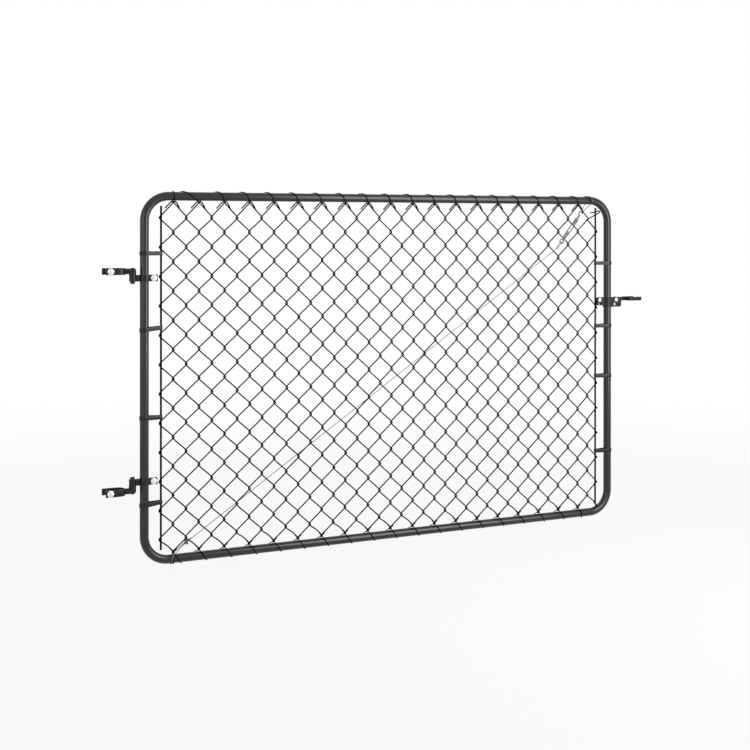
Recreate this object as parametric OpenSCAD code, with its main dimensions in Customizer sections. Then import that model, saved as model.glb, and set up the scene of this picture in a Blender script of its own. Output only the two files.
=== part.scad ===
// Single swing chain link gate, 6 ft by 4 ft, hung on two post hinges, with a fork latch.
// X runs along the gate from the hinge post to the latch side, -Y faces the viewer and +Z is up.
// The origin is the centre of the lower hinge strap, on the axis of the hinge post.

/* [Gate frame] */
// Overall width of the tube frame
frame_w = 1732; // [1100:1:2400]
// Overall height of the tube frame
frame_h = 1130; // [800:1:1900]
// Outside diameter of the frame tube
tube_d = 27.3; // [24:0.1:34]
// Wall thickness of the frame tube
tube_wall = 1.65; // [1.2:0.05:3]
// Bend radius of the four corners, to the tube's centre line
corner_r = 75.5; // [50:0.5:120]

/* [Fabric] */
// Nominal height of one diamond
diamond_h = 88.8; // [60:0.1:110]
// Nominal width of one diamond
diamond_w = 82.6; // [60:0.1:110]
// Diameter of the fabric wire
wire_d = 3.76; // [2.6:0.01:4.4]
// Drop from the top rail's centre line to the top knuckles
knuckle_drop = 22.2; // [20:0.1:30]
// Rise from the bottom rail's centre line to the bottom knuckles
knuckle_rise = 15.4; // [15:0.1:25]
// How far the last half diamonds are pulled in by the tension bars
link_pull = 4.75; // [2:0.05:6]
// Sideways shift of the fabric toward the latch
fabric_shift = 2.4; // [-2:0.1:2.4]
// Diameter of the lacing wire
lacing_d = 2.6; // [1.8:0.1:3.2]

/* [Tension bars] */
// Diameter of the tension bars
bar_d = 6.35; // [5:0.05:8]
// Distance from a stile's axis to its tension bar
bar_inset = 52; // [50:0.5:60]
// Distance from the rails' centre lines to the ends of the bars
bar_end_gap = 25; // [20:0.5:60]
// Thickness of the clip strip
clip_t = 1.5; // [1:0.1:2]
// Width of the clip strip
clip_w = 12.5; // [8:0.5:14]

/* [Hinges] */
// Diameter of the post that the straps clamp
post_d = 41.3; // [38:0.1:48]
// Distance from the post's axis to the hinge pin's axis
post_to_pin = 47; // [46:0.5:60]
// Distance from the hinge pin's axis to the stile's axis
pin_to_stile = 36.5; // [34:0.5:50]
// Distance from the upper hinge band's middle to the frame's top edge
upper_inset = 261.5; // [180:0.5:330]
// Distance from the lower hinge band's middle to the frame's bottom edge
lower_inset = 255; // [180:0.5:330]
// Diameter of the hinge pin
pin_d = 14; // [12:0.1:16]
// Height of the post straps
strap_h = 20; // [16:0.5:24]
// Thickness of the post straps
strap_t = 3; // [2.5:0.1:4]
// Distance between strap middle and band middle at the upper hinge
upper_step = 21; // [20.8:0.1:26]
// Distance between strap middle and band middle at the lower hinge
lower_step = 24.5; // [22:0.1:34]
// Diameter of the hinge bolts
bolt_d = 9.5; // [8:0.1:10]

/* [Fork latch] */
// Height of the latch pivot below the frame's upper outer edge
latch_drop = 366.5; // [200:0.5:500]
// Clear width between the fork's tines
fork_gap = 44; // [43:0.5:66]
// Distance from the stile's axis to the tips of the tines
fork_reach = 132.5; // [115:0.5:145]
// Height of the fork's strap
fork_h = 13.2; // [10:0.1:15]

/* [Truss] */
// Diameter of the truss cable
cable_d = 2.4; // [2:0.1:3.2]
// Distance of the truss cable behind the fabric's middle
truss_y = 15.5; // [15:0.1:17]

/* [Hidden] */
$fn = 48;

// Clearances
seat = 0.15;       // between a band or wrap and the round tube inside it
run = 0.05;        // radial clearance of a pin or bolt in its bore
touch = 0.3;       // running gap beside a part that moves

// Frame
tube_r = tube_d / 2;
span_x = frame_w - tube_d;
span_z = frame_h - tube_d;
stile_x = post_to_pin + pin_to_stile;
stile2_x = stile_x + span_x;
rail_z = lower_step - (lower_inset - tube_r);
rail2_z = rail_z + span_z;
lower_band_z = lower_step;
upper_band_z = rail2_z - (upper_inset - tube_r);
upper_strap_z = upper_band_z + upper_step;

// Fabric grid: column c and row r are half diamonds, and wires cross where c + r is even
bar_r = bar_d / 2;
bar_x = stile_x + bar_inset;
bar2_x = stile2_x - bar_inset;
pickets = 2 * round((bar2_x - bar_x + 2 * link_pull) / diamond_w - 0.5) + 1;
half_w = (bar2_x - bar_x + 2 * link_pull) / pickets;
last_col = pickets - 1;
col0_x = bar_x - link_pull + half_w + fabric_shift;
fabric_h = span_z - knuckle_drop - knuckle_rise;
rows = 2 * round(fabric_h / diamond_h);
half_h = fabric_h / rows;
row0_z = rail2_z - knuckle_drop;
function col_x(c) = col0_x + c * half_w;
function row_z(r) = row0_z - r * half_h;
strand_t = wire_d * sqrt(PI) / 2;             // side of a square bar with the wire's section
slope = half_h / half_w;
strand_l = sqrt(half_w * half_w + half_h * half_h);
cross_h = strand_t / 2 * strand_l / half_w;   // half height of a strand, measured along Z
hole_h = half_h - cross_h;
hole_w = hole_h / slope;
tip_h = 1.5;                                  // knuckle height above its centre line
tip_w = (cross_h - tip_h) / slope;

// Tension bar clips, as shares of the fabric's height down from the top knuckles. Each keeps clear
// of the links that hold the bar, which are on odd rows at the hinge side and on even rows at the other
clip_shares_hinge = [0.142, 0.358, 0.608, 0.854];
clip_shares_latch = [0.185, 0.402, 0.567, 0.816];
clip_reach = bar_r + seat + clip_t + link_pull;
function clip_row(share, odd) =
  let (row = share * rows,
       reach = clip_reach + fabric_shift * (odd == 1 ? 1 : -1),
       play = 1 - (reach * slope + cross_h + clip_w / 2 + touch) / half_h,
       middle = 2 * round((row - odd) / 2) + odd)
  middle + max(-play, min(play, row - middle));

// Hinge band
band_h = 20;
band_t = 2.6;
band_bolt_x = 28;
band_end_x = 40;
ear_gap = 6;
eye_t = 3.5;
eye_r = pin_d / 2 + run;

// Post strap
strap_in_r = post_d / 2 + 0.1;
strap_out_r = strap_in_r + strap_t;
strap_bolt_x = strap_in_r + bolt_d / 2 + 2 * touch;
strap_end_x = strap_bolt_x + 14.4;

// Carriage bolts
bolt_r = bolt_d / 2;
head_r = 10.6;
head_h = 5;
nut_h = 8;
nut_r = 9.2;

// Hinge pin
neck_r = 9;
elbow_r = 11;
pin_past = 7;
pin_chamfer = 1;

// Latch
pivot_z = rail2_z + tube_r - latch_drop;
latch_bolt_x = 35.5;
latch_bolt_r = 4;
latch_head_r = 7.5;
latch_head_h = 3.6;
plate_t = 2.6;
fork_t = 5;
plate_y = fork_t / 2 + touch;
plate_top = 9.5;
plate_low = 25.5;
ear_in = 47.8;
ear_out = 57.5;
ear_low = 19;
ear_r = 8;
notch_w = 9.5;
notch_z = 11;
lock_x = 32.2;
lock_z = 16;
lock_r = 7;
tine_t = 3;
tine_rise = 2.6;
fork_base_x = 79.5;
fork_root_r = 11;

// Truss
cable_r = cable_d / 2;
wrap_r = tube_r + seat + cable_r;
low_wrap_x = stile_x + corner_r + 6.5;
low_clip = [stile_x + 138, truss_y, rail_z + 41.5];
sling_x = stile2_x - corner_r - 2.5;
body_w = 15;
rod_r = 3;
eye_big_r = 7.2;
eye_wire_r = 2.2;
hub_r = 5;
thimble_r = 6.8;
hook_r = 8;
body_lo = [stile2_x - 172.8, truss_y, rail2_z - 129.7];
body_hi = [stile2_x - 117.6, truss_y, rail2_z - 62.9];

function unit(v) = v / norm(v);
function blend(a, b, t) = a + (b - a) * t;

// Round tube of few sides along a list of points; side is a direction across the path
module sweep(path, r, sides, side) {
  n = len(path);
  ring = [for (i = [0 : n - 1])
    let (t = unit(path[min(i + 1, n - 1)] - path[max(i - 1, 0)]),
         u = unit(side - t * (side * t)),
         v = cross(t, u))
    for (k = [0 : sides - 1])
      path[i] + r * (cos(360 * (k + 0.5) / sides) * u + sin(360 * (k + 0.5) / sides) * v)];
  walls = [for (i = [0 : n - 2], k = [0 : sides - 1])
    let (a = i * sides + k, b = i * sides + (k + 1) % sides)
    each [[a, a + sides, b + sides], [a, b + sides, b]]];
  polyhedron(ring, concat([[for (k = [0 : sides - 1]) k]], walls,
    [[for (k = [sides - 1 : -1 : 0]) (n - 1) * sides + k]]));
}

// Cylinder between two points
module rod(a, b, r) {
  d = b - a;
  translate(a) rotate([0, acos(d[2] / norm(d)), atan2(d[1], d[0])]) cylinder(r = r, h = norm(d));
}

// Extrudes an outline in X and Z toward -Y, from y0 to y1
module slab(y0, y1) {
  translate([0, y1, 0]) rotate([90, 0, 0]) linear_extrude(y1 - y0) children();
}

module tube_ring() {
  difference() {
    circle(tube_r);
    circle(tube_r - tube_wall);
  }
}

module frame_tube() {
  half_x = span_x / 2 - corner_r;
  half_z = span_z / 2 - corner_r;
  color([0.16, 0.16, 0.17]) translate([stile_x + span_x / 2, 0, rail_z + span_z / 2]) {
    for (s = [-1, 1]) {
      translate([s * span_x / 2, 0, 0]) linear_extrude(2 * half_z, center = true) tube_ring();
      translate([0, 0, s * span_z / 2])
        rotate([0, 90, 0]) linear_extrude(2 * half_x, center = true) tube_ring();
    }
    for (k = [0 : 3])
      translate([k == 0 || k == 3 ? half_x : -half_x, 0, k < 2 ? half_z : -half_z])
        rotate([90, 0, 0]) rotate([0, 0, 90 * k])
          rotate_extrude(angle = 90) translate([corner_r, 0]) tube_ring();
  }
}

// Edge of a fabric section at x, from the bottom up, with the open half diamonds notched in;
// toward is 1 where the section lies to the right of x and -1 where it lies to the left
function edge_points(c, x, toward) =
  let (d = (x - col_x(c)) * toward, fork = cross_h / slope)
  [for (r = [rows - 1 : -1 : 1])
    let (z = row_z(r), next = col_x(c + toward))
    each (c + r) % 2 != 0
      ? [[x, z - hole_h + d * slope], [col_x(c) + toward * hole_w, z], [x, z + hole_h - d * slope]]
      : d > fork
        ? [[x, z - (d - fork) * slope], [next, z - hole_h], [next + toward * hole_w, z],
           [next, z + hole_h], [x, z + (d - fork) * slope]]
        : []];

// Top or bottom edge from left to right; up is 1 at the top and -1 at the bottom
function rim_points(c0, c1, x0, x1, r, up) =
  [for (c = [c0 : c1])
    let (z = row_z(r), even = (c % 2 == 0), cut = c == c0 ? x0 - col_x(c) : c == c1 ? col_x(c) - x1 : 0)
    each c == c0 || c == c1
      ? [[c == c0 ? x0 : x1, even ? z + up * (cross_h - max(cut, tip_w) * slope)
                                  : z - up * (hole_h - cut * slope)]]
      : even ? [[col_x(c) - tip_w, z + up * tip_h], [col_x(c) + tip_w, z + up * tip_h]]
             : [[col_x(c), z - up * hole_h]]];

function reversed(list) = [for (i = [len(list) - 1 : -1 : 0]) list[i]];

// One width of woven fabric between columns c0 and c1, cut off at x0 and x1
module fabric(c0, c1, x0, x1) {
  cut0 = x0 - col_x(c0) > cross_h / slope;
  cut1 = col_x(c1) - x1 > cross_h / slope;
  outline = concat(edge_points(c0, x0, 1), rim_points(c0, c1, x0, x1, 0, 1),
    reversed(edge_points(c1, x1, -1)), reversed(rim_points(c0, c1, x0, x1, rows, -1)));
  holes = [for (c = [c0 + (cut0 ? 2 : 1) : c1 - (cut1 ? 2 : 1)], r = [1 : rows - 1])
    if ((c + r) % 2 != 0) [c, r]];
  corners = [for (h = holes, k = [0 : 3])
    [col_x(h[0]) + [hole_w, 0, -hole_w, 0][k], row_z(h[1]) + [0, hole_h, 0, -hole_h][k]]];
  n = len(outline);
  color([0.10, 0.10, 0.11]) slab(-strand_t / 2, strand_t / 2)
    polygon(concat(outline, corners), concat([[for (i = [0 : n - 1]) i]],
      [for (h = [0 : len(holes) - 1]) [for (k = [0 : 3]) n + 4 * h + k]]));
}

col_a = round(pickets / 3) - 1;
col_b = 2 * round(pickets / 3) - 1;
bar_face = bar_x + bar_r + run;
bar2_face = bar2_x - bar_r - run;

module tension_bar(x) {
  color([0.12, 0.12, 0.13]) translate([x, 0, rail_z + bar_end_gap])
    cylinder(r = bar_r, h = span_z - 2 * bar_end_gap);
}

// Outline of a belt round two circles, d apart along X, of radii r0 and r1
function belt_points(r0, r1, d) =
  let (a = acos((r0 - r1) / d))
  [for (i = [0 : 24]) let (b = blend(a, 360 - a, i / 24)) r0 * [cos(b), sin(b)],
   for (i = [0 : 10]) let (b = blend(-a, a, i / 10)) [d, 0] + r1 * [cos(b), sin(b)]];

// Strip wrapped round a stile and its tension bar, toward is 1 where the bar is to the right
module bar_clip(x, row, toward) {
  inner = belt_points(tube_r + seat, bar_r + seat, bar_inset);
  outer = belt_points(tube_r + seat + clip_t, bar_r + seat + clip_t, bar_inset);
  n = len(outer);
  color([0.17, 0.17, 0.18]) translate([x, 0, row_z(row) - clip_w / 2])
    mirror([toward < 0 ? 1 : 0, 0, 0]) linear_extrude(clip_w)
      polygon(concat(outer, inner), [[for (i = [0 : n - 1]) i], [for (i = [0 : n - 1]) n + i]]);
}

// Lacing wire wound round a rail at zc and through the knuckles at zk; up is 1 at the top rail
module lacing(zc, zk, up) {
  lr = lacing_d / 2;
  steps = 8;
  start = 60;
  turn = (360 - 2 * start) / steps;
  r = (tube_r + seat + lr) / cos(turn / 2);
  pass_y = strand_t / 2 + lr + seat;
  pass_z = zk - up * (cross_h + (lr + seat) * strand_l / half_w);
  knuckles = floor(last_col / 2) - 1;
  path = [for (m = [0 : knuckles])
    let (x = col_x(2 * m))
    each concat(
      [[x, -pass_y, pass_z], [x, pass_y, pass_z]],
      [for (i = [0 : steps])
        let (a = start + turn * i, drift = 2 * half_w * 0.6 * min(1, i / (steps / 2)),
             back = i > steps / 2 ? 2 * half_w * 0.4 * (i - steps / 2) / (steps / 2 + 1) : 0,
             run_x = m == knuckles ? 0.12 * (drift + back) : drift + back)
        [x + run_x, r * sin(a), zc - up * r * cos(a)]])];
  color([0.11, 0.11, 0.12]) sweep(path, lr, 4, [1, 0, 0]);
}

// Band bent round the stile with the hinge eye on one side and two bolted ears on the other
module hinge_band(z) {
  color([0.17, 0.17, 0.18]) translate([stile_x, 0, z - band_h / 2]) difference() {
    linear_extrude(band_h) difference() {
      union() {
        circle(tube_r + seat + band_t);
        translate([-pin_to_stile, 0]) circle(eye_r + eye_t);
        translate([-pin_to_stile, -band_t - 1]) square([pin_to_stile, 2 * band_t + 2]);
        translate([0, -ear_gap / 2 - band_t]) square([band_end_x, ear_gap + 2 * band_t]);
      }
      circle(tube_r + seat);
      translate([-pin_to_stile, 0]) circle(eye_r);
      translate([0, -ear_gap / 2]) square([band_end_x + 1, ear_gap]);
    }
    translate([band_bolt_x, 0, band_h / 2]) rotate([90, 0, 0])
      cylinder(r = bolt_r + run, h = 4 * band_h, center = true);
  }
}

// Carriage bolt through a stack from y = -half to y = half, with its head toward the viewer
module carriage_bolt(r, hr, hh, half, tail) {
  dome = (hr * hr + hh * hh) / (2 * hh);
  color([0.80, 0.81, 0.82]) {
    rotate([90, 0, 0]) cylinder(r = r, h = half);
    rotate([-90, 0, 0]) cylinder(r = r, h = half + tail);
    translate([0, -half, 0]) rotate([90, 0, 0]) intersection() {
      cylinder(r = hr, h = hh);
      translate([0, 0, hh - dome]) sphere(dome);
    }
  }
}

// Hexagon nut seated at y = half
module nut(r, nr, h, half) {
  color([0.78, 0.79, 0.80]) translate([0, half, 0]) rotate([-90, 0, 0]) linear_extrude(h)
    difference() {
      circle(nr, $fn = 6);
      circle(r + run);
    }
}

band_half = ear_gap / 2 + band_t;
latch_half = plate_y + plate_t;

module band_bolt(z) {
  translate([stile_x + band_bolt_x, 0, z]) carriage_bolt(bolt_r, head_r, head_h, band_half, nut_h + 4);
}

module band_nuts() {
  for (z = [lower_band_z, upper_band_z])
    translate([stile_x + band_bolt_x, 0, z]) nut(bolt_r, nut_r, nut_h, band_half);
}

// Strap bent round the post, with two straight legs that its bolt ties together
module post_strap(z) {
  color([0.17, 0.17, 0.18]) translate([0, 0, z - strap_h / 2]) difference() {
    union() {
      linear_extrude(strap_h) difference() {
        circle(strap_out_r);
        circle(strap_in_r);
        translate([-2 * strap_out_r, -2 * strap_out_r]) square([2 * strap_out_r, 4 * strap_out_r]);
      }
      linear_extrude(strap_h) translate([-strap_end_x, strap_in_r]) square([strap_end_x, strap_t]);
      linear_extrude(strap_h) translate([-strap_end_x, -strap_out_r]) square([strap_end_x, strap_t]);
    }
    translate([-strap_bolt_x, 0, strap_h / 2]) rotate([90, 0, 0])
      cylinder(r = bolt_r + run, h = 4 * strap_h, center = true);
  }
}

// Elbow welded to the strap's round end, with the pin standing in the gate's eye; up is 1 or -1
module hinge_pin(z, step, up) {
  shoulder = step - band_h / 2 - touch;
  length = step + band_h / 2 + pin_past;
  color([0.17, 0.17, 0.18]) translate([0, 0, z]) mirror([0, 0, up > 0 ? 0 : 1]) difference() {
    union() {
      rotate([0, 90, 0]) cylinder(r = neck_r, h = post_to_pin);
      translate([post_to_pin, 0, 0]) {
        sphere(elbow_r);
        cylinder(r = elbow_r, h = shoulder);
        cylinder(r = pin_d / 2, h = length - pin_chamfer);
        translate([0, 0, length - pin_chamfer])
          cylinder(r1 = pin_d / 2, r2 = pin_d / 2 - pin_chamfer, h = pin_chamfer);
      }
    }
    translate([0, 0, -strap_h]) cylinder(r = strap_out_r, h = 2 * strap_h);
  }
}

module post_bolt(z) {
  translate([-strap_bolt_x, 0, z]) carriage_bolt(bolt_r, head_r, head_h, strap_out_r, nut_h + 4);
}

module post_nuts() {
  for (z = [0, upper_strap_z])
    translate([-strap_bolt_x, 0, z]) nut(bolt_r, nut_r, nut_h, strap_out_r);
}

// One half of the latch clamp: a half barrel on the stile with an ear on each side
module latch_plate(side) {
  barrel = tube_r + seat;
  color([0.17, 0.17, 0.18]) translate([stile2_x, 0, pivot_z]) mirror([0, side > 0 ? 1 : 0, 0])
    difference() {
      union() {
        translate([0, 0, -plate_low]) linear_extrude(plate_top + plate_low) intersection() {
          circle(barrel + plate_t);
          translate([-2 * tube_r, -2 * tube_r - plate_y]) square([4 * tube_r, 2 * tube_r]);
        }
        slab(-plate_y - plate_t, -plate_y) {
          translate([-ear_in, -ear_low]) square([ear_in, plate_top + ear_low - ear_r]);
          translate([ear_r - ear_in, -ear_low]) square([ear_in - ear_r, plate_top + ear_low]);
          translate([ear_r - ear_in, plate_top - ear_r]) circle(ear_r);
          translate([0, -plate_low]) square([ear_out - ear_r, plate_top + plate_low]);
          translate([0, ear_r - plate_low]) square([ear_out, plate_top + plate_low - 2 * ear_r]);
          for (z = [ear_r - plate_low, plate_top - ear_r]) translate([ear_out - ear_r, z]) circle(ear_r);
        }
      }
      translate([0, 0, -2 * plate_low]) cylinder(r = barrel, h = 4 * plate_low);
      for (x = [-latch_bolt_x, latch_bolt_x]) translate([x, 0, 0]) rotate([90, 0, 0])
        cylinder(r = latch_bolt_r + run, h = 4 * plate_low, center = true);
      translate([lock_x, 0, -lock_z]) rotate([90, 0, 0])
        cylinder(r = lock_r, h = 4 * plate_low, center = true);
      translate([-latch_bolt_x - notch_w / 2, -plate_low, -plate_low])
        cube([notch_w, 2 * plate_low, plate_low - notch_z]);
    }
}

module latch_bolt(x) {
  translate([stile2_x + x, 0, pivot_z])
    carriage_bolt(latch_bolt_r, latch_head_r, latch_head_h, latch_half, 10);
}

module latch_nuts() {
  for (x = [-latch_bolt_x, latch_bolt_x])
    translate([stile2_x + x, 0, pivot_z]) nut(latch_bolt_r, 7.2, 6.5, latch_half);
}

// Fork that drops round the latch post, with a heel that stops on the stile
module latch_fork() {
  heel_x = tube_r + touch - latch_bolt_x;
  base = fork_base_x - latch_bolt_x;
  tip = fork_reach - latch_bolt_x;
  outer = fork_gap / 2 + tine_t;
  bend = 6;
  color([0.17, 0.17, 0.18]) translate([stile2_x + latch_bolt_x, 0, pivot_z]) {
    difference() {
      slab(-fork_t / 2, fork_t / 2) {
        circle(fork_root_r);
        translate([0, tine_rise - fork_h / 2]) square([base + 1, fork_h]);
        translate([-fork_root_r, -plate_low]) square([2 * fork_root_r, plate_low]);
        translate([heel_x, -lock_z - lock_r]) square([-heel_x, lock_r + 6]);
      }
      rotate([90, 0, 0]) cylinder(r = latch_bolt_r + run, h = 40, center = true);
      translate([lock_x - latch_bolt_x, 0, -lock_z]) rotate([90, 0, 0])
        cylinder(r = lock_r, h = 40, center = true);
    }
    translate([0, 0, tine_rise - fork_h / 2]) linear_extrude(fork_h) difference() {
      union() {
        translate([base + bend, -outer]) square([tip - base - bend, 2 * outer]);
        translate([base, -outer + bend]) square([tip - base, 2 * outer - 2 * bend]);
        for (s = [-1, 1]) translate([base + bend, s * (outer - bend)]) circle(bend);
      }
      translate([base + bend, -outer + tine_t]) square([tip, 2 * outer - 2 * tine_t]);
      translate([base + tine_t, -outer + bend]) square([tip, 2 * outer - 2 * bend]);
      for (s = [-1, 1]) translate([base + bend, s * (outer - bend)]) circle(bend - tine_t);
    }
  }
}

along = unit(body_hi - body_lo);
across = cross(along, [0, 1, 0]);
eye_c = body_lo - along * 18;
thimble_c = eye_c - along * (eye_big_r - eye_wire_r + thimble_r - cable_r - touch);
ferrule_hi = thimble_c - along * (thimble_r + 3);
ferrule_lo = ferrule_hi - along * 14;
hook_c = body_hi + along * 22;

// Points of one turn round a rail, from the back over the top to the front and below
function rail_turn(x0, x1, zc, from, to, steps) =
  [for (i = [0 : steps])
    let (a = from + (to - from) * i / steps, r = wrap_r / cos((to - from) / steps / 2))
    [blend(x0, x1, i / steps), r * cos(a), zc + r * sin(a)]];

// Cable from its tail at the clip, round the bottom rail, and up to the thimble by the turnbuckle
module truss_cable() {
  pair = [0, 0, cable_d + 0.4];
  through = 9 * unit(ferrule_lo - low_clip);
  thimble = [for (i = [0 : 9])
    let (a = 180 + 28 + (360 - 56) * i / 9)
    thimble_c + thimble_r * (cos(a) * along + sin(a) * [0, 1, 0])];
  color([0.72, 0.73, 0.75]) sweep(concat([low_clip + pair + 2 * through, low_clip + pair - through],
    rail_turn(low_wrap_x - 4, low_wrap_x + 4, rail_z, 0, -218, 9),
    [low_clip - through, ferrule_lo, ferrule_hi], thimble), cable_r, 6, [0, 1, 0.3]);
}

module cable_clip() {
  color([0.74, 0.75, 0.77]) translate(low_clip) difference() {
    translate([-5, -4.5, -6]) cube([10, 9, 16]);
    translate([-6, -cable_r - seat, -7]) cube([12, cable_d + 2 * seat, 14.5]);
  }
}

module cable_ferrule() {
  color([0.74, 0.75, 0.77]) difference() {
    rod(ferrule_lo, ferrule_hi, 3);
    rod(ferrule_lo - along, ferrule_hi + along, cable_r + run);
  }
}

// Two side bars between two threaded ends
module turnbuckle_body() {
  end_l = 12;
  color([0.80, 0.81, 0.82]) difference() {
    union() {
      for (s = [-1, 1]) {
        off = s * (body_w / 2 - 2) * across;
        rod(body_lo + off + along * 2, body_hi + off - along * 2, 2);
      }
      rod(body_lo, body_lo + along * end_l, hub_r);
      rod(body_hi - along * end_l, body_hi, hub_r);
    }
    rod(body_lo - along, body_lo + along * (end_l + 1), rod_r + run);
    rod(body_hi - along * (end_l + 1), body_hi + along, rod_r + run);
  }
}

module turnbuckle_eye() {
  color([0.78, 0.79, 0.80]) {
    rod(eye_c + along * (eye_big_r - 1), body_lo + along * 26, rod_r);
    translate(eye_c) rotate([90, 0, 0]) rotate_extrude() translate([eye_big_r, 0]) circle(eye_wire_r);
  }
}

module turnbuckle_hook() {
  hook = [for (i = [0 : 9])
    let (a = 180 - 240 * i / 9)
    hook_c + hook_r * (cos(a) * along + sin(a) * across)];
  color([0.78, 0.79, 0.80]) {
    rod(body_hi - along * 26, hook_c - along * (hook_r - 0.5), rod_r);
    sweep(hook, eye_wire_r, 8, [0, 1, 0]);
  }
}

// Short cable that ties the hook to the top rail beside the corner
module corner_sling() {
  side = [0, eye_wire_r + cable_r + touch, 0];
  held = hook_c + along * (hook_r - eye_wire_r - cable_r - touch);
  past = hook_c + along * (hook_r + 2);
  turn = rail_turn(sling_x - 3, sling_x + 3, rail2_z, 0, 218, 9);
  end = [0, touch, 0];
  color([0.72, 0.73, 0.75]) sweep(concat([held + end, held + side, past + side], turn,
    [past - side, held - side, held - end]), cable_r, 6, [1, 0, 0]);
}

frame_tube();
fabric(-1, col_a, bar_face, col_x(col_a));  // fabric_hinge_side
fabric(col_a, col_b, col_x(col_a), col_x(col_b));  // fabric_middle
fabric(col_b, last_col, col_x(col_b), bar2_face);  // fabric_latch_side
tension_bar(bar_x);  // tension_bar_hinge_side
tension_bar(bar2_x);  // tension_bar_latch_side
lacing(rail2_z, row_z(0), 1);  // lacing_wire_top
lacing(rail_z, row_z(rows), -1);  // lacing_wire_bottom
bar_clip(stile_x, clip_row(clip_shares_hinge[0], 0), 1);  // bar_clip_hinge_1
bar_clip(stile_x, clip_row(clip_shares_hinge[1], 0), 1);  // bar_clip_hinge_2
bar_clip(stile_x, clip_row(clip_shares_hinge[2], 0), 1);  // bar_clip_hinge_3
bar_clip(stile_x, clip_row(clip_shares_hinge[3], 0), 1);  // bar_clip_hinge_4
bar_clip(stile2_x, clip_row(clip_shares_latch[0], 1), -1);  // bar_clip_latch_1
bar_clip(stile2_x, clip_row(clip_shares_latch[1], 1), -1);  // bar_clip_latch_2
bar_clip(stile2_x, clip_row(clip_shares_latch[2], 1), -1);  // bar_clip_latch_3
bar_clip(stile2_x, clip_row(clip_shares_latch[3], 1), -1);  // bar_clip_latch_4
hinge_band(upper_band_z);  // hinge_band_upper
hinge_band(lower_band_z);  // hinge_band_lower
band_bolt(upper_band_z);  // band_bolt_upper
band_bolt(lower_band_z);  // band_bolt_lower
band_nuts();
post_strap(upper_strap_z);  // post_strap_upper
post_strap(0);  // post_strap_lower
hinge_pin(upper_strap_z, upper_step, -1);  // hinge_pin_upper
hinge_pin(0, lower_step, 1);  // hinge_pin_lower
post_bolt(upper_strap_z);  // post_bolt_upper
post_bolt(0);  // post_bolt_lower
post_nuts();
latch_plate(-1);  // latch_plate_front
latch_plate(1);  // latch_plate_back
latch_bolt(-latch_bolt_x);  // latch_clamp_bolt
latch_bolt(latch_bolt_x);  // latch_pivot_bolt
latch_nuts();
latch_fork();
truss_cable();
cable_clip();
cable_ferrule();
turnbuckle_body();
turnbuckle_eye();
turnbuckle_hook();
corner_sling();
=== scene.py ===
import bmesh
import bpy
import numpy as np
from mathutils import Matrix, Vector


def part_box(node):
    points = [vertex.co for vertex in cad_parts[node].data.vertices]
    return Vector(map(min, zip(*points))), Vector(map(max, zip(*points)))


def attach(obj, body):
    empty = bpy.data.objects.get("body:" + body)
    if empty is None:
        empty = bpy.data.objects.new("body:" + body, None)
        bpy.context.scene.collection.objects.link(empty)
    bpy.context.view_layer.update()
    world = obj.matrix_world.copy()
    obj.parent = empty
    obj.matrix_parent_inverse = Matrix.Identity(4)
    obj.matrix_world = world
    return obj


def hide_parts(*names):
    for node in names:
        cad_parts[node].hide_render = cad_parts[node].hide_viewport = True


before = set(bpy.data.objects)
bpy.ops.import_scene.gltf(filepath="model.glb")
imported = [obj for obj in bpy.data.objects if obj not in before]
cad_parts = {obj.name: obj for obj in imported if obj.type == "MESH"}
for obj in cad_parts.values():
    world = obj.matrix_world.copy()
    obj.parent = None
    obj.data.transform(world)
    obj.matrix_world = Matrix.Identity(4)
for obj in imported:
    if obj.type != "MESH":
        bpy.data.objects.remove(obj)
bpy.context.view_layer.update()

# Frame: one round steel tube bent to four corners and welded into a ring.
# It is powder coated black, half glossy, with a faint orange peel.

MM = 0.001
TURN = 2 * np.pi


class Level:
    """A socket's number in sums and products: each operator adds one Math node, also with plain numbers."""

    def __init__(self, finish, socket):
        self.finish, self.socket = finish, socket

    def math(self, operation, a, b):
        return self.finish.node("Math", {"operation": operation}, {0: a, 1: b})

    def __add__(self, other):
        return self.math("ADD", self, other)

    def __radd__(self, other):
        return self.math("ADD", other, self)

    def __mul__(self, other):
        return self.math("MULTIPLY", self, other)

    def __rmul__(self, other):
        return self.math("MULTIPLY", other, self)


class Finish:
    """One coat or metal or, with worlds as its home, the surround. node() adds a shader node from its
    type, its settings and its inputs."""

    def __init__(self, name, home=bpy.data.materials):
        self.made = home.new(name)
        self.made.use_nodes = True
        self.tree = self.made.node_tree
        self.tree.nodes.clear()

    def node(self, kind, settings=None, inputs=None, out=0):
        made = self.tree.nodes.new("ShaderNode" + kind)
        for key, value in (settings or {}).items():
            setattr(made, key, value)
        for key, value in (inputs or {}).items():
            if isinstance(value, Level):
                self.tree.links.new(value.socket, made.inputs[key])
            else:
                made.inputs[key].default_value = value
        return Level(self, made.outputs[out] if made.outputs else None)

    def place(self):
        """Where a point lies on the object, in metres."""
        return self.node("TexCoord", out="Object")

    def grain(self, size):
        """Soft noise from 0 to 1 with spots of about the given size in millimetres."""
        return self.node("TexNoise", {}, {"Vector": self.place(), "Scale": 1 / (size * MM), "Detail": 2.0})

    def tint(self, low, high, amount):
        """Colour between low and high by amount."""
        return self.node("Mix", {"data_type": "RGBA"}, {0: amount, 6: low, 7: high}, out=2)

    def bump(self, height, depth, strength):
        """Normals of a relief as deep as depth millimetres, tilted by only a share strength of it."""
        return self.node("Bump", {}, {"Height": height, "Distance": depth * MM, "Strength": strength})

    def surface(self, **inputs):
        """Ends the finish with one surface shader; input names use _ for a space."""
        named = {key.replace("_", " "): value for key, value in inputs.items()}
        shader = self.node("BsdfPrincipled", {}, named)
        self.node("OutputMaterial", {}, {"Surface": shader})
        return self.made


def grey(value):
    """Neutral colour of one level."""
    return (value, value, value, 1.0)


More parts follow.
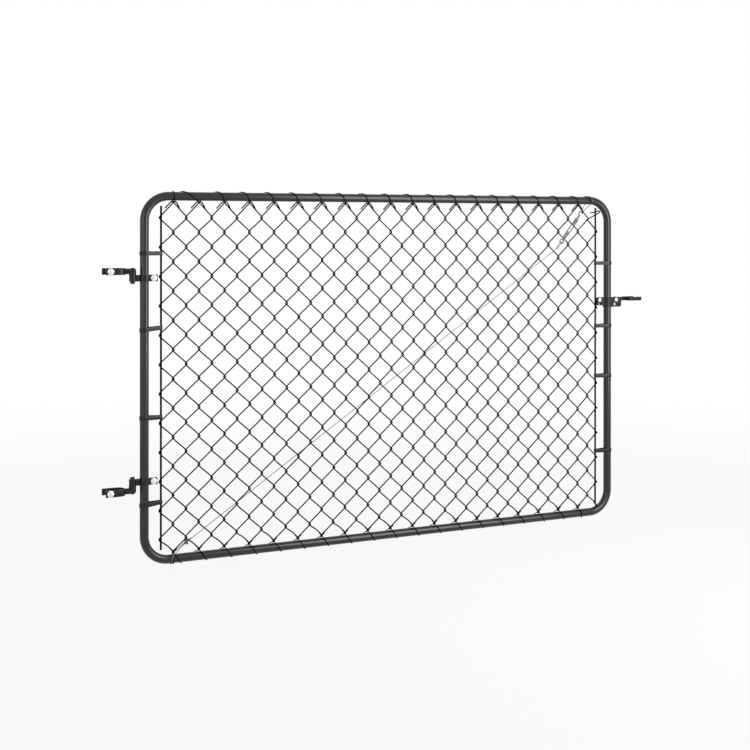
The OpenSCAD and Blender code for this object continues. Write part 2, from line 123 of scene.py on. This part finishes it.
def unit(v):
    """Each row of v divided by its own length."""
    return v / np.linalg.norm(v, axis=-1, keepdims=True)


def ring(radius, sides):
    """Circle outline: point k is radius times (cos, sin) of k steps, with sides steps to a full turn."""
    a = TURN * np.arange(sides) / sides
    return radius * np.stack([np.cos(a), np.sin(a)], -1)


def carried(path, profile, side, closed=False):
    """Profile points (u, v) set square across a path: point = path + u U + v V, where T is the path's
    direction, U is the unit part of side that is square to T, and V is T x U."""
    ahead = np.roll(path, -1, 0) - np.roll(path, 1, 0) if closed else np.gradient(path, axis=0)
    t = unit(ahead)
    side = np.asarray(side, float)
    u = unit(side - t * np.sum(side * t, -1, keepdims=True))
    v = np.cross(t, u)
    profile = np.broadcast_to(profile, (len(path),) + np.shape(profile)[-2:])
    return path[:, None] + profile[..., :1] * u[:, None] + profile[..., 1:] * v[:, None]


def skin(rings, closed=False):
    """Quads between neighbouring rings of points, with a flat face over each end of an open row."""
    n, m = rings.shape[:2]
    i = np.arange(n if closed else n - 1)[:, None]
    j = np.arange(m)
    here, there, after = i * m, (i + 1) % n * m, (j + 1) % m
    quads = np.stack([here + j, here + after, there + after, there + j], -1).reshape(-1, 4)
    blocks = [quads] if closed else [quads, j[None, ::-1], j[None] + (n - 1) * m]
    return rings.reshape(-1, 3), blocks


def piece(name, skins, finish, body, replaced, flat=35):
    """One object from closed skins in millimetres. It is smooth except where faces meet at more than flat
    degrees."""
    points, faces, first = [], [], 0
    for spots, blocks in skins:
        points.append(spots)
        for block in blocks:
            faces.extend((block + first).tolist())
        first += len(spots)
    mesh = bpy.data.meshes.new(name)
    mesh.from_pydata((np.concatenate(points) * MM).tolist(), [], faces)
    fitted(name, mesh, finish, body, replaced, flat)


def fitted(name, mesh, finish, body, replaced, flat=35):
    """Puts a finished mesh on its body, in place of the CAD nodes that it stands for."""
    mesh.materials.clear()
    mesh.materials.append(finish)
    mesh.shade_smooth()
    mesh.set_sharp_from_angle(angle=np.radians(flat))
    made = bpy.data.objects.new(name, mesh)
    bpy.context.scene.collection.objects.link(made)
    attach(made, body)
    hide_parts(*replaced)
    return made


def box_mm(node):
    """Lowest and highest corner of a CAD node in millimetres."""
    low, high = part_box(node)
    return np.array(low) / MM, np.array(high) / MM


frame_low, frame_high = box_mm("frame_tube")
tube_r = frame_high[1]
stile_x, stile2_x = frame_low[0] + tube_r, frame_high[0] - tube_r
rail_z, rail2_z = frame_low[2] + tube_r, frame_high[2] - tube_r
corner_r = 75.5


def frame_path(steps):
    """Centre line of the frame: quarter circles of corner_r round the four corner centres, in turn."""
    a = TURN / 4 * (np.arange(4)[:, None] + np.linspace(0, 1, steps))
    x = np.where(np.cos(a.mean(1)) > 0, stile2_x - corner_r, stile_x + corner_r)[:, None]
    z = np.where(np.sin(a.mean(1)) > 0, rail2_z - corner_r, rail_z + corner_r)[:, None]
    points = np.stack([x + corner_r * np.cos(a), 0 * a, z + corner_r * np.sin(a)], -1)
    return points.reshape(-1, 3)


def powder_coat():
    coat = Finish("black_powder_coat")
    peel = coat.grain(1.6)
    cloud = coat.grain(60)
    return coat.surface(
        Base_Color=coat.tint(grey(0.006), grey(0.010), cloud),
        Roughness=0.19 + 0.04 * cloud,
        Specular_IOR_Level=0.5,
        Normal=coat.bump(peel, 0.01, 0.15),
    )


black_coat = powder_coat()
piece("gate_frame", [skin(carried(frame_path(25), ring(tube_r, 40), (0, 1, 0), closed=True), closed=True)],
      black_coat, "gate", ["frame_tube"])

# Fabric: steel wires bent to a zigzag and wound into each other, coated black.
# Each wire's strands pass in front where they fall to the right and behind where they rise to it.

wire_r = 2.1
bar_r = 3.175
bar_x = box_mm("tension_bar_hinge_side")[0][0] + bar_r
bar2_x = box_mm("tension_bar_latch_side")[0][0] + bar_r
touch = 0.1
weave_y = 5.1
wires = 39
rows = 24
half_w = 41.287
half_h = 44.383
hook_past = 2.4
col0_x = 174.44
row0_z = rail2_z - 22.2
top_tail = 0.5
low_tail = 0.4
top_lift = 7.0
sag_hinge, sag_middle, sag_latch = 2.7, 1.6, 2.7
lean_most = 5.0
bar_pull = 1.3


def column(c):
    """Place along the gate of fabric column c, where two neighbouring wires hook together."""
    return col0_x + c * half_w


def sampled(first, last):
    """Half diamonds from first to last, each cut into steps that crowd toward the bends at whole numbers:
    each step s moves back by a sine that makes one turn in each half diamond."""
    steps = 10
    ease = 0.8
    s = np.arange(round(first * steps), round(last * steps) + 1) / steps
    return s - ease / TURN * np.sin(TURN * s)


def hung(x, y, z):
    """The fabric as it hangs, with u along the gate and v down it, each from 0 to 1. The top knuckles are
    laced up against the rail, and come forward by half as much. Below them the fabric sags by a sine of v,
    most on the latch side, and leans that way by a sine of u times a sine of v. Near the hinge side's
    tension bar it is pulled back toward the bar."""
    u = np.clip((x - bar_x) / (bar2_x - bar_x), 0, 1)
    v = np.clip((row0_z - z) / (rows * half_h), 0, 1)
    lift = top_lift * np.clip(1 - (row0_z - z) / half_h, 0, 1) ** 1.5
    sag = (sag_hinge + sag_middle * np.sin(np.pi * u) + sag_latch * u) * np.sin(np.pi * v ** 1.1)
    pull = bar_pull * (1 - u) ** 2 * np.tanh(12 * u)
    lean = lean_most * np.sin(np.pi * u ** 0.85) ** 1.6 * np.sin(np.pi * v) - pull
    return np.stack([x + lean, y - 0.5 * lift, z + lift - sag], -1)


def woven_wire(number):
    """Centre line of one wire by s half diamonds down from the top knuckles. z falls evenly and turns
    back past the first and last row, x is a rounded triangle wave, and y is a steep tanh of a sine.
    The turned back ends stand off their own strands at the top and lie close along them at the bottom,
    and the last half diamond of a strand that falls to the right bows out by a sine."""
    s = sampled(-top_tail, rows + low_tail)
    phase = s - (number + 1) % 2
    left = column(number - 1) - hook_past if number else bar_x - bar_r - wire_r - touch
    right = column(number) + hook_past if number < wires - 1 else bar2_x + bar_r + wire_r + touch
    round_off = 0.985
    wave = np.arcsin(round_off * np.cos(np.pi * phase)) / np.arcsin(round_off)
    fold_r = 0.03
    upper = s < rows / 2
    past = np.where(upper, s, rows - s)
    down = np.hypot(past, fold_r)
    down = np.where(upper, down, rows - down)
    leans = 1 - 2 * ((number + 1 + np.where(upper, 0, rows)) % 2)
    opened_by = 0.1
    opened = np.clip(-past / opened_by, 0, 1)
    closing = np.where(leans > 0, 1 - np.clip(-past / top_tail, 0, 1) ** 2.5, 1)
    top_off, low_off = 7.2, 0.4
    out = opened * np.where(upper, top_off * closing, low_off)
    last = np.clip(1 - np.abs(s - rows), 0, 1)
    falls = (number + 1 + rows) % 2
    bow_most = 4.2
    bow = -bow_most * falls * np.sin(np.pi * last)
    strand = np.hypot(half_w, half_h)
    x = (left + right) / 2 + (left - right) / 2 * wave + (out * leans - bow) * half_h / strand
    z = row0_z - half_h * down + (out * np.where(upper, 1, -1) - bow) * half_w / strand
    steep = 6
    tail_y = -0.25
    y = -weave_y * np.tanh(steep * np.sin(np.pi * phase)) / np.tanh(steep) * np.where(past < 0, tail_y, 1)
    line = hung(x, y, z)
    return line if number < wires - 1 else corner_hook(line, s)


def corner_hook(line, s):
    """The last wire's top end, flatter than the rest: straight from its first link past the front of the
    tension bar, half a circle round it, and back behind it at a lower slope."""
    reach, lift = 13, 27
    turn_r = 5.9
    end_length = 32
    turn_tilt = np.array([0, 0.9, 0.44])
    end_way = np.array([0.98, 0, 0.2])
    rest = line[s >= 1]
    first = rest[0]
    centre = np.array([bar2_x + reach, 0, first[2] + lift])
    way = unit((centre - first) * [1, 0, 1])
    a = np.linspace(0, np.pi, 14)[:, None]
    arc = centre + turn_r * (np.sin(a) * way - np.cos(a) * turn_tilt)
    run = np.concatenate([first + (arc[0] - first) * np.linspace(0, 1, 12)[1:-1, None], arc,
                          arc[-1] - end_way * end_length * np.linspace(0, 1, 6)[1:, None]])
    return np.concatenate([run[::-1], rest])


def wire_coat():
    coat = Finish("black_wire_coat")
    cloud = coat.grain(25)
    return coat.surface(
        Base_Color=coat.tint(grey(0.004), grey(0.008), cloud),
        Roughness=0.65 + 0.1 * cloud,
        Specular_IOR_Level=0.02,
    )


black_wire = wire_coat()
third = wires // 3
for start, part in enumerate(["hinge_side", "middle", "latch_side"]):
    numbers = range(start * third, (start + 1) * third)
    woven = [skin(carried(woven_wire(number), ring(wire_r, 10), (1, 0, 0))) for number in numbers]
    piece("woven_wires_" + part, woven, black_wire, "gate", ["fabric_" + part])

# Tension bars: round steel bars threaded through the last loops on each side, coated like the fabric.
# They are cut square, with the edge of each end just broken, and the hinge side's is a little shorter.


def turned(centre, axis, places, radius, sides):
    """Round part about an axis: at each place along it a circle of that radius, or a closed line with a
    radius of its own for each angle."""
    axis = unit(np.array(axis, float))
    u = unit(np.cross(axis, (0.31, 0.52, 0.79)))
    v = np.cross(axis, u)
    a = TURN * np.arange(sides) / sides
    across = np.cos(a)[:, None] * u + np.sin(a)[:, None] * v
    radius = np.broadcast_to(np.array(radius, float).T, (sides, len(places))).T
    return np.array(centre, float) + np.array(places)[:, None, None] * axis + radius[..., None] * across


edge = 0.6
for side, short in [("hinge_side", 4.5), ("latch_side", 0)]:
    low, high = box_mm("tension_bar_" + side)
    foot = [(low[0] + high[0]) / 2, 0, low[2]]
    top = high[2] - low[2] - short
    rod = turned(foot, (0, 0, 1), [short, short + edge, top - edge, top],
                 [bar_r - edge, bar_r, bar_r, bar_r - edge], 20)
    piece("tension_rod_" + side, [skin(rod)], black_wire, "gate", ["tension_bar_" + side])

# Lacing: one long thin wire wound round each rail and through the knuckles of the fabric, once a diamond.
# The top wire slants down the front to each knuckle from the left, and the bottom wire slants down the
# front from each knuckle to the right.


def belt(r0, r1, apart, count):
    """Even points on a belt round two circles on one line: arcs of r0 and r1 joined by tangents."""
    a = np.arccos((r0 - r1) / apart)
    big = np.linspace(a, TURN - a, 60)
    small = np.linspace(-a, a, 40)
    line = np.concatenate([r0 * np.stack([np.cos(big), np.sin(big)], -1),
                           [apart, 0] + r1 * np.stack([np.cos(small), np.sin(small)], -1)])
    return evened(np.concatenate([line, line[:1]]), count + 1)[:-1]


def evened(line, count):
    """Points at equal distances along a line of points."""
    far = np.concatenate([[0], np.cumsum(np.linalg.norm(np.diff(line, axis=0), axis=1))])
    return np.stack([np.interp(np.linspace(0, far[-1], count), far, k) for k in line.T], -1)


lace_r = 1.3
lace_past = 5.2
lace_turn_r = 8.5


def lacing_path(rail, knuckle_z, up, over):
    """Turns round a rail: each is a belt round the rail and past one knuckle, set square to the rail,
    drifting along it by one diamond from knuckle to knuckle, of which a share over lies before the far
    side of the rail. One nearly upright turn comes before the first knuckle, the top wire's next one lies
    further back along the rail, and the last one drifts less and is cut short."""
    steps = 44
    cut = 0.8
    turns = (wires - 3) // 2
    low = knuckle_z - up * lace_past
    reach = abs(rail - low) - lace_turn_r
    loop = belt(tube_r + lace_r + touch, lace_turn_r, reach, steps)
    loop = np.roll(loop, -np.argmax(loop[:, 0]), 0)
    k = np.arange(-int(cut * steps), int((turns + cut) * steps))
    turn, part = k // steps, k / steps % 1
    near, near_drift = 0.08, 0.02
    drift = np.interp(part, [0, near, 0.5, 1 - near, 1], [0, near_drift, over, 1 - near_drift, 1])
    last_drift, back, first_slant = 0.6, 0.37, 3.2
    drift = drift * np.where(turn < turns, 1, last_drift)
    drift = drift - np.where((turn == 0) & (up > 0), back * (1 - np.abs(2 * part - 1)), 0)
    x = column(2 * turn) + 2 * half_w * drift
    x = np.where(turn < 0, column(0) - first_slant * (1 - part), x)
    return np.stack([x, up * loop[k % steps, 1], rail - up * loop[k % steps, 0]], -1)


for part, rail, knuckle_z, up, over in [
    ("top", rail2_z, row0_z + top_lift, 1, 0.73),
    ("bottom", rail_z, row0_z - rows * half_h, -1, 0.3),
]:
    lace = skin(carried(lacing_path(rail, knuckle_z, up, over), ring(lace_r, 10), (1, 0, 0)))
    piece("lacing_" + part, [lace], black_wire, "gate", ["lacing_wire_" + part])

# Bar clips: flat steel strips wrapped round a stile and its tension bar, which they hold side by side.
# They are stamped with rounded edges and coated black, and two on the hinge side sit at a slant.


def hardware_coat():
    coat = Finish("black_hardware_coat")
    cloud = coat.grain(18)
    return coat.surface(
        Base_Color=coat.tint(grey(0.007), grey(0.012), cloud),
        Roughness=0.28 + 0.10 * cloud,
        Specular_IOR_Level=0.3,
        Normal=coat.bump(coat.grain(1.2), 0.05, 0.3),
    )


def rounded_bar(width, thick, edge):
    """Outline of a strip: a rectangle with quarter circles of radius edge at its corners."""
    a = TURN / 4 * (np.arange(4)[:, None] + np.linspace(0, 1, 4))
    cx = np.array([1, -1, -1, 1])[:, None] * (width / 2 - edge)
    cy = np.array([1, 1, -1, -1])[:, None] * (thick / 2 - edge)
    return np.stack([cx + edge * np.cos(a), cy + edge * np.sin(a)], -1).reshape(-1, 2)


black_hardware = hardware_coat()
clip_t = 1.5
seat = 0.15
bar_inset = 52
slant = 0.09
for side, stile, toward in [("hinge", stile_x, 1), ("latch", stile2_x, -1)]:
    for number in range(1, 5):
        node = f"bar_clip_{side}_{number}"
        low, high = box_mm(node)
        loop = belt(tube_r + seat + clip_t / 2, bar_r + seat + clip_t / 2, bar_inset, 90)
        slope = slant if node in ["bar_clip_hinge_2", "bar_clip_hinge_4"] else 0
        wrap = np.stack([stile + toward * loop[:, 0], toward * loop[:, 1],
                         slope * loop[:, 0] + (low[2] + high[2]) / 2], -1)
        strip = rounded_bar(high[2] - low[2], clip_t, edge=0.5)
        strap = skin(carried(wrap, strip, (0, 0, 1), closed=True), closed=True)
        piece(f"bar_strap_{side}_{number}", [strap], black_hardware, "gate", [node])

# Hinges and latch: pressed steel bands round the hinge stile, straps with pins for the post, and the
# latch's two clamp plates and drop fork. Each keeps the form it was pressed in, with its edges rounded
# and the black coat of the clips.


def eased(node, name, body, edge, finish=black_hardware):
    """A CAD node's own mesh, copied and merged, with a bevel of edge millimetres on its sharp edges."""
    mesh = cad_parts[node].data.copy()
    mesh.name = name
    work = bmesh.new()
    work.from_mesh(mesh)
    bmesh.ops.remove_doubles(work, verts=work.verts, dist=0.01 * MM)
    bmesh.ops.dissolve_limit(work, angle_limit=np.radians(0.5), verts=work.verts, edges=work.edges)
    work.to_mesh(mesh)
    work.free()
    made = fitted(name, mesh, finish, body, [node])
    bevel = made.modifiers.new("edges", "BEVEL")
    bevel.width = edge * MM
    bevel.segments = 2
    bevel.limit_method = "ANGLE"
    bevel.angle_limit = np.radians(32)
    bevel.harden_normals = True


for level in ["upper", "lower"]:
    eased("hinge_band_" + level, "stile_band_" + level, "gate", 0.5)
    eased("post_strap_" + level, "strap_" + level, "post_hinges", 0.6)
    eased("hinge_pin_" + level, "pintle_" + level, "post_hinges", 0.4)
eased("latch_plate_front", "clamp_plate_front", "gate", 0.5)
eased("latch_plate_back", "clamp_plate_back", "gate", 0.5)
eased("latch_fork", "drop_fork", "fork", 0.6)

# Bolts: steel carriage bolts with domed heads and cut threads, and hexagon nuts behind, bright zinc
# plated. They draw the bands, the straps and the latch plates together.


def zinc_plate():
    plate = Finish("bright_zinc")
    cloud = plate.grain(6)
    return plate.surface(
        Base_Color=plate.tint((0.60, 0.61, 0.63, 1), (0.88, 0.88, 0.89, 1), cloud),
        Metallic=1.0,
        Roughness=0.26 + 0.14 * cloud,
    )


def carriage_bolt(low, high, shank_r, head_r, head_h, tail):
    """Dome, rim, plain shank and helical thread in one row of circles from the head to the tail. Over
    the thread the radius falls by a saw wave of the distance plus one pitch a turn."""
    sides = 24
    pitch, cut = 1.5, 0.75
    rim, under, chamfer = 0.9, 0.01, 1.0
    run_out = 0.3
    centre = (low + high) / 2
    head, end = low[1], high[1]
    a = np.linspace(0.12, 1, 7) * TURN / 4
    dome_y = head + (head_h - rim) * (1 - np.cos(a))
    dome_r = head_r * np.sin(a)
    thread_y = np.arange(end - tail, end - chamfer, pitch / 6)
    angle = TURN * np.arange(sides) / sides
    saw = np.abs((thread_y[:, None] / pitch + angle / TURN) % 1 - 0.5) * 2
    thread_r = shank_r - cut * saw
    plain_y = [head + head_h, head + head_h + under, end - tail - run_out]
    y = np.concatenate([dome_y, plain_y, thread_y, [end]])
    plain = np.array([head_r, shank_r, shank_r])[:, None] + 0 * angle
    r = np.concatenate([dome_r[:, None] + 0 * angle, plain, thread_r, [0 * angle + shank_r - chamfer]])
    return turned((centre[0], 0, centre[2]), (0, 1, 0), y, r, sides)


def hex_nut(centre, y0, y1, corner, bore_r):
    """Six-sided nut: the outer radius is the hexagon's, of which corner is the largest, cut to a cone at
    both faces, and the bore is round."""
    sides = 48
    a = TURN * np.arange(sides) / sides
    flat = corner * np.cos(np.pi / 6)
    hexagon = flat / np.cos((a + np.pi / 6) % (np.pi / 3) - np.pi / 6)
    cone_share, face_share = 0.12, 0.98
    cone = cone_share * (y1 - y0)
    faced = np.minimum(hexagon, flat * face_share)
    y = [y0, y0 + cone, y1 - cone, y1, y1, y0]
    r = np.stack([faced, hexagon, hexagon, faced, bore_r + 0 * a, bore_r + 0 * a])
    return turned((centre[0], 0, centre[1]), (0, 1, 0), y, r, sides)


zinc = zinc_plate()
large = {"shank_r": 4.75, "head_h": 5.0, "thread": 12, "corner": 9.2}
small = {"shank_r": 4.0, "head_h": 3.6, "thread": 10, "corner": 7.2}
pairs = [
    ("band_nuts", "gate", ["band_bolt_upper", "band_bolt_lower"], large),
    ("post_nuts", "post_hinges", ["post_bolt_upper", "post_bolt_lower"], large),
    ("latch_nuts", "gate", ["latch_clamp_bolt", "latch_pivot_bolt"], small),
]
for nuts, body, twins, size in pairs:
    for node in twins:
        low, high = box_mm(node)
        head_r = (high[0] - low[0]) / 2
        bolt = carriage_bolt(low, high, size["shank_r"], head_r, size["head_h"], size["thread"])
        piece(node.replace("bolt", "screw"), [skin(bolt)], zinc, body, [node], flat=50)

for nuts, body, twins, size in pairs:
    corner = size["corner"]
    low, high = box_mm(nuts)
    made = []
    for node in twins:
        middle = sum(box_mm(node)) / 2
        nut = hex_nut((middle[0], middle[2]), low[1], high[1], corner, corner / 2)
        made.append(skin(nut, closed=True))
    piece(nuts.replace("nuts", "hex_nuts"), made, zinc, body, [nuts], flat=30)

# Truss: a thin steel cable from the lower hinge corner to the upper latch corner, drawn tight by a
# turnbuckle. It is laid up from zinc coated strands, clipped at the bottom and swaged at the top.

cable_r = 1.2
truss_y = 15.5
low_clip = np.array([stile_x + 138, truss_y, rail_z + 41.5])
body_lo = np.array([stile2_x - 172.8, truss_y, rail2_z - 129.7])
body_hi = np.array([stile2_x - 117.6, truss_y, rail2_z - 62.9])
along = unit(body_hi - body_lo)
across = np.cross(along, (0, 1, 0))
play = 0.3
rod_r = 2.2
eye_r, eye_reach = 7.2, 18
thimble_r, thimble_neck = 6.8, 3
ferrule_length = 14
clip_half = 9
hook_r, hook_reach = 8, 22
eye_c = body_lo - along * eye_reach
thimble_c = eye_c - along * (eye_r - rod_r + thimble_r - cable_r - play)
ferrule_hi = thimble_c - along * (thimble_r + thimble_neck)
ferrule_lo = ferrule_hi - along * ferrule_length
through = clip_half * unit(ferrule_lo - low_clip)
hook_c = body_hi + along * hook_reach


def laid_cable(line):
    """Cable of six strands: an even line carries a circle whose radius dips six times round, by a share
    deep of it, and the dips turn once in each lay of length."""
    sides = 18
    step = 1.8
    lay = 22
    deep = 0.18
    length = np.linalg.norm(np.diff(line, axis=0), axis=1).sum()
    path = evened(line, int(length / step))
    a = TURN * np.arange(sides) / sides
    turn = TURN * np.linspace(0, length / lay, len(path))[:, None]
    r = cable_r * (1 - deep + deep * np.abs(np.cos(3 * (a - turn))))
    outline = np.stack([r * np.cos(a), r * np.sin(a)], -1)
    return skin(carried(path, outline, across))


def rail_turn(x0, x1, rail, first, last):
    """Part of a turn round a rail: a circle from angle first to last, in degrees from the back of the rail,
    drifting evenly from x0 to x1."""
    s = np.linspace(0, 1, 30)
    a = np.radians(first + (last - first) * s)
    r = tube_r + seat + cable_r
    return np.stack([x0 + (x1 - x0) * s, r * np.cos(a), rail + r * np.sin(a)], -1)


def dull_zinc_and_painted_shade():
    metal = Finish("dull_zinc_and_painted_shade")
    cloud = metal.grain(8)
    return metal.surface(
        # The base colour is darker than the bright zinc's. Part of that is the duller galvanised finish,
        # and part is painted shade: the cable, clips and turnbuckle are darkened all over as if they lay in
        # shade, as the rail wraps do.
        Base_Color=metal.tint(grey(0.11), grey(0.24), cloud),
        Metallic=1.0,
        Roughness=0.36 + 0.12 * cloud,
    )


steel_cable = dull_zinc_and_painted_shade()
over_the_run = np.array([0, 0, 2.8])
wrap_x, wrap_half = stile_x + 82, 4
a = np.radians(np.linspace(208, 512, 40))[:, None]
thimble = thimble_c + thimble_r * (np.cos(a) * along + np.sin(a) * [0, 1, 0])
run = np.concatenate([[low_clip + over_the_run + 2 * through, low_clip + over_the_run - through],
                      rail_turn(wrap_x - wrap_half, wrap_x + wrap_half, rail_z, 0, -218),
                      [low_clip - through, ferrule_lo, ferrule_hi], thimble])
piece("truss_strand", [laid_cable(run)], steel_cable, "gate", ["truss_cable"], flat=60)

sling_x, sling_half = stile2_x - 78, 3
past_hook = 2
gap = np.array([0, rod_r + cable_r + play, 0])
end = np.array([0, play, 0])
held = hook_c + along * (hook_r - rod_r - cable_r - play)
past = hook_c + along * (hook_r + past_hook)
sling = np.concatenate([[held + end, held + gap, past + gap],
                        rail_turn(sling_x - sling_half, sling_x + sling_half, rail2_z, 0, 218),
                        [past - gap, held - gap, held - end]])
piece("sling_strand", [laid_cable(sling)], steel_cable, "gate", ["corner_sling"], flat=60)

eased("cable_clip", "wire_clip", "gate", 0.8, steel_cable)
eased("cable_ferrule", "swaged_sleeve", "gate", 0.5, steel_cable)
eased("turnbuckle_body", "turnbuckle_frame", "gate", 0.5, steel_cable)
eased("turnbuckle_eye", "eye_bolt", "gate", 0.2, steel_cable)
eased("turnbuckle_hook", "hook_bolt", "gate", 0.2, steel_cable)

# Studio: a pale floor a little under the gate, which keeps the gate's shadow and fades to white away from
# it, a surround that looks white and lights the gate softly, and three wide lamps.


def stage_card(name, corners, finish):
    """One flat card of the set."""
    mesh = bpy.data.meshes.new(name)
    mesh.from_pydata(corners, [], [(0, 1, 2, 3)])
    mesh.materials.append(finish)
    card = bpy.data.objects.new(name, mesh)
    bpy.context.scene.collection.objects.link(card)


def backdrop_rays(finish):
    """1 for a ray that should meet the white surround: from the camera, a reflection or through glass."""
    from_camera = finish.node("LightPath", out="Is Camera Ray")
    from_gloss = finish.node("LightPath", out="Is Glossy Ray")
    through_glass = finish.node("LightPath", out="Is Transmission Ray")
    return from_camera + from_gloss + through_glass


def floor_finish():
    floor = Finish("pale_floor")
    plain = floor.node("BsdfDiffuse", {}, {"Color": grey(0.82)})
    bright = floor.node("Emission", {}, {"Color": grey(1.0), "Strength": 1.0})
    away = floor.node("VectorMath", {"operation": "DISTANCE"},
                      {0: floor.place(), 1: under_gate}, out="Value")
    fade = floor.node("MapRange", {"interpolation_type": "SMOOTHSTEP"},
                      {"Value": away, "From Min": 1.2, "From Max": 4.5, "To Min": 0.9, "To Max": 1.0})
    mixed = floor.node("MixShader", {}, {0: fade * backdrop_rays(floor), 1: plain, 2: bright})
    floor.node("OutputMaterial", {}, {"Surface": mixed})
    return floor.made


floor_drop = 45
floor_z = (frame_low[2] - floor_drop) * MM
under_gate = (0.9, 0.0, floor_z)
edge_low, edge_high = -14, 16
floor_corners = [(edge_low, edge_low, floor_z), (edge_high, edge_low, floor_z),
                 (edge_high, edge_high, floor_z), (edge_low, edge_high, floor_z)]
stage_card("floor", floor_corners, floor_finish())

surround = Finish("surround", bpy.data.worlds)
shown = surround.node("Background", {}, {"Color": grey(1.0), "Strength": 1.0})
lit = surround.node("Background", {}, {"Color": grey(1.0), "Strength": 0.3})
mixed = surround.node("MixShader", {}, {0: backdrop_rays(surround), 1: lit, 2: shown})
surround.node("OutputWorld", {}, {"Surface": mixed})
bpy.context.scene.world = surround.made


def soft_lamp(name, place, target, size, power):
    """Rectangular lamp that faces its target, with its place and size in metres and its power in watts."""
    lamp = bpy.data.lights.new(name, "AREA")
    lamp.shape = "RECTANGLE"
    lamp.size, lamp.size_y = size
    lamp.energy = power
    made = bpy.data.objects.new(name, lamp)
    from_here = np.array(target, float) - np.array(place, float)
    made.location = place
    made.rotation_euler = Vector(from_here).to_track_quat("-Z", "Y").to_euler()
    bpy.context.scene.collection.objects.link(made)


gate_middle = np.array([stile_x + stile2_x, 0, rail_z + rail2_z]) / 2 * MM
over_gate = gate_middle + np.array([0, 0, 0.8])
soft_lamp("key", (2.1, -1.9, 1.15), over_gate, (1.3, 2.3), 44)
soft_lamp("fill", (-3.4, -2.4, 1.2), gate_middle, (1.5, 2.0), 20)
soft_lamp("back", (1.0, 3.4, 3.0), gate_middle, (3.0, 1.6), 25)

# Camera: level, in front of the gate and to the left of it, and turned toward its middle. It stands higher
# than the middle, so its picture is shifted down until the whole gate lies in it.

view = bpy.data.cameras.new("camera")
view.lens = 66.02
view.sensor_width = 36
view.shift_x = -0.0005
view.shift_y = -0.1983
camera = bpy.data.objects.new("camera", view)
camera.location = (-1.1528, -4.0175, 0.7947)
camera.rotation_euler = (np.radians(90), -0.0007, -0.4649)
bpy.context.scene.collection.objects.link(camera)
bpy.context.scene.camera = camera
bpy.context.scene.view_settings.view_transform = "Standard"
